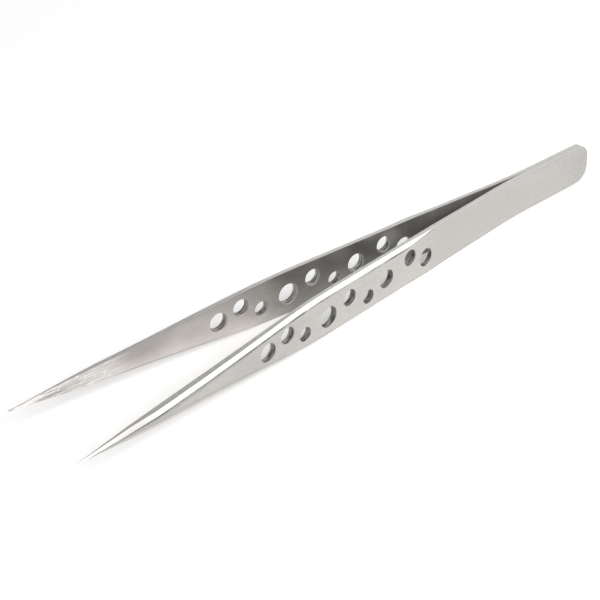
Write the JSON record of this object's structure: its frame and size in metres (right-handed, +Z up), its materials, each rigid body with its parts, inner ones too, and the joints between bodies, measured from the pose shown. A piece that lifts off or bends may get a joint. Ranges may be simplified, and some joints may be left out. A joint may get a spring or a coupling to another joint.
{
  "type": "straight needle-point tweezers",
  "caption": "Straight spring-steel tweezers with drilled grips, ground bevels and long needle points; two arms spot welded at the tail.",
  "frame": {"origin": "under the middle of the tweezers, on the surface that their lower edges lie on, halfway between tail end and points", "axes": "+X along the tweezers from the tail towards the points, +Y the way the left arm opens, square to the flat tail, +Z up across the width of the arms"},
  "size_m": [0.14, 0.0206, 0.0094],
  "materials": {
    "satin_steel": "fine satin stainless steel with brighter ground bevels",
    "weld_steel": "fused steel inside the tail seam, out of sight"
  },
  "bodies": {
    "tail": {"left_arm_tail": "satin_steel", "right_arm_tail": "satin_steel", "weld_nuggets": "weld_steel"},
    "left_blade": {"left_arm_blade": "satin_steel"},
    "right_blade": {"right_arm_blade": "satin_steel"}
  },
  "joints": [
    {"name": "left_arm_flex", "type": "hinge", "parent": "tail", "child": "left_blade", "pos_m": [-0.03855, 0.00113, 0.0047], "axis": [0, 0, -1], "range_deg": [0, 5.24], "stiffness_Nm_per_rad": 2.6},
    {"name": "right_arm_flex", "type": "hinge", "parent": "tail", "child": "right_blade", "pos_m": [-0.03855, -0.00113, 0.0047], "axis": [0, 0, 1], "range_deg": [0, 5.24], "stiffness_Nm_per_rad": 2.6}
  ],
  "couplings": [
    {"joint": "right_arm_flex", "follows": "left_arm_flex", "ratio": 1}
  ]
}
